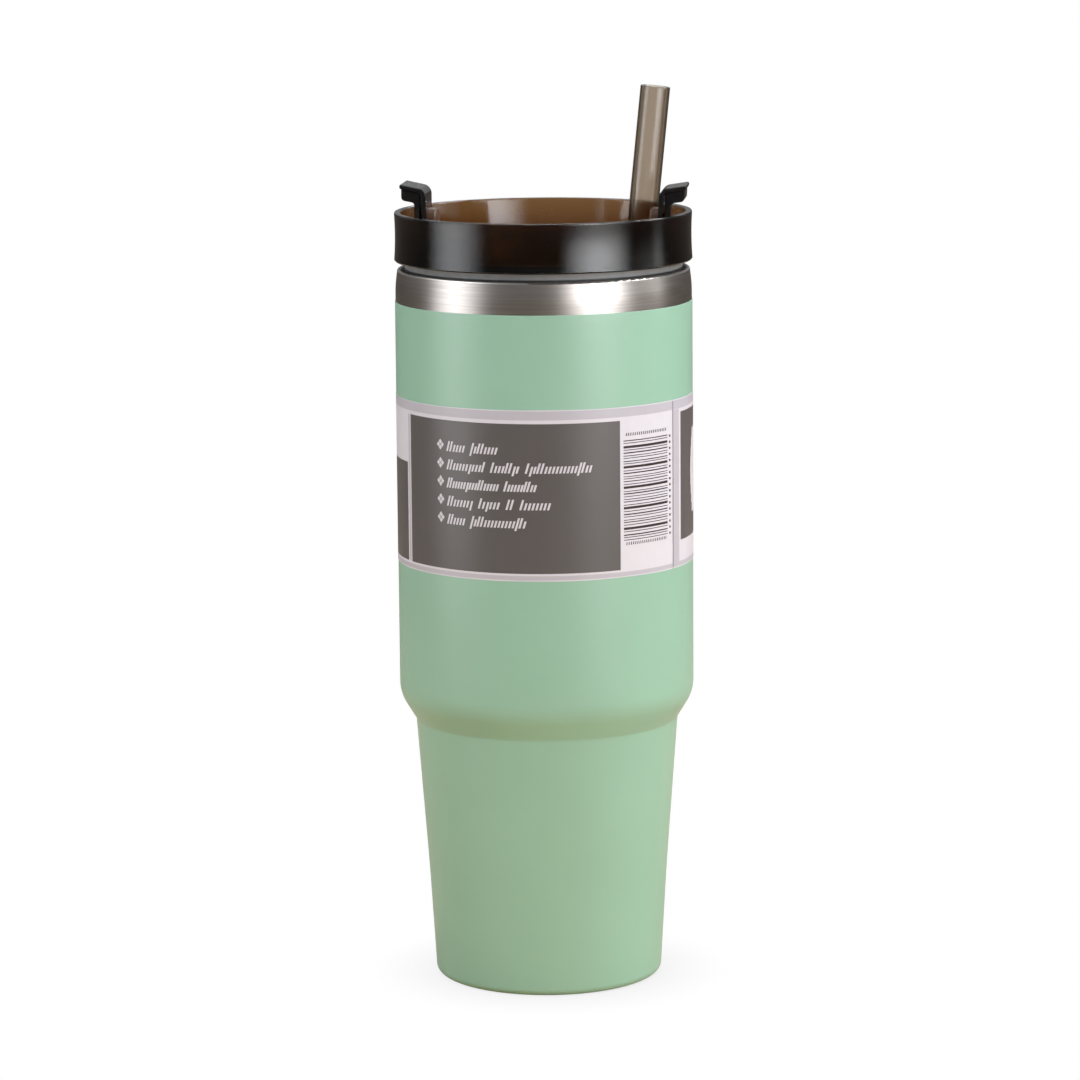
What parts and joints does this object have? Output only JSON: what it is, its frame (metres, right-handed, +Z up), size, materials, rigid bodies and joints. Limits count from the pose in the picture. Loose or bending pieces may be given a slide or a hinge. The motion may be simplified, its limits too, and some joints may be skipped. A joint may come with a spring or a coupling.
{
  "type": "insulated travel mug",
  "caption": "Double-walled steel tumbler with a shouldered, tapered lower body, push-in lid with a raised ring wall and flip stoppers, leaning drinking straw and paper wrap.",
  "frame": {"origin": "centre of the base, in the plane that the cup stands on", "axes": "+Z up along the cup's axis; +X towards the straw's flip stopper, so both hinge axes lie along Y"},
  "size_m": [0.091, 0.091, 0.2744],
  "materials": {
    "mint_powder_coat": "satin mint powder coat, with a bare brushed steel band below the mouth",
    "liner_steel": "satin stainless steel",
    "pressed_steel": "dull pressed stainless steel",
    "smoke_plastic": "dark smoke-brown translucent plastic, glossy",
    "black_plastic": "black moulded plastic, softly glossy",
    "straw_plastic": "smoke-grey translucent plastic",
    "grey_silicone": "matte grey silicone",
    "dark_silicone": "matte dark silicone",
    "pin_steel": "bright drawn steel",
    "label_paper": null,
    "getter_metal": "sintered grey metal",
    "solder_glass": "brown solder glass"
  },
  "bodies": {
    "cup": {"outer_shell": "mint_powder_coat", "inner_liner": "liner_steel", "liner_base": "liner_steel", "mid_base": "pressed_steel", "base_cover": "pressed_steel", "seal_bead": "solder_glass", "getter_pellet": "getter_metal", "getter_clip": "pressed_steel", "label_sleeve": "label_paper"},
    "lid": {"lid_body": "smoke_plastic", "lid_gasket": "grey_silicone", "skirt_seal": "grey_silicone", "straw_grommet": "dark_silicone", "spout_pin": "pin_steel", "vent_pin": "pin_steel"},
    "spout_stopper_flip": {"spout_flip": "black_plastic", "spout_stopper": "dark_silicone"},
    "vent_stopper_flip": {"vent_flip": "black_plastic", "vent_stopper": "dark_silicone"},
    "straw": {"straw": "straw_plastic"}
  },
  "joints": [
    {"name": "lid_lift", "type": "slide", "parent": "cup", "child": "lid", "axis": [0, 0, 1], "range_m": [0, 0.24]},
    {"name": "spout_hinge", "type": "hinge", "parent": "lid", "child": "spout_stopper_flip", "pos_m": [-0.0368, 0, 0.227], "axis": [0, 1, 0], "range_deg": [-10, 90]},
    {"name": "vent_hinge", "type": "hinge", "parent": "lid", "child": "vent_stopper_flip", "pos_m": [0.0368, 0, 0.227], "axis": [0, -1, 0], "range_deg": [-6.5, 93.5]},
    {"name": "straw_pull", "type": "slide", "parent": "lid", "child": "straw", "axis": [0.1011, 0, 0.9949], "range_m": [0, 0.25]}
  ]
}
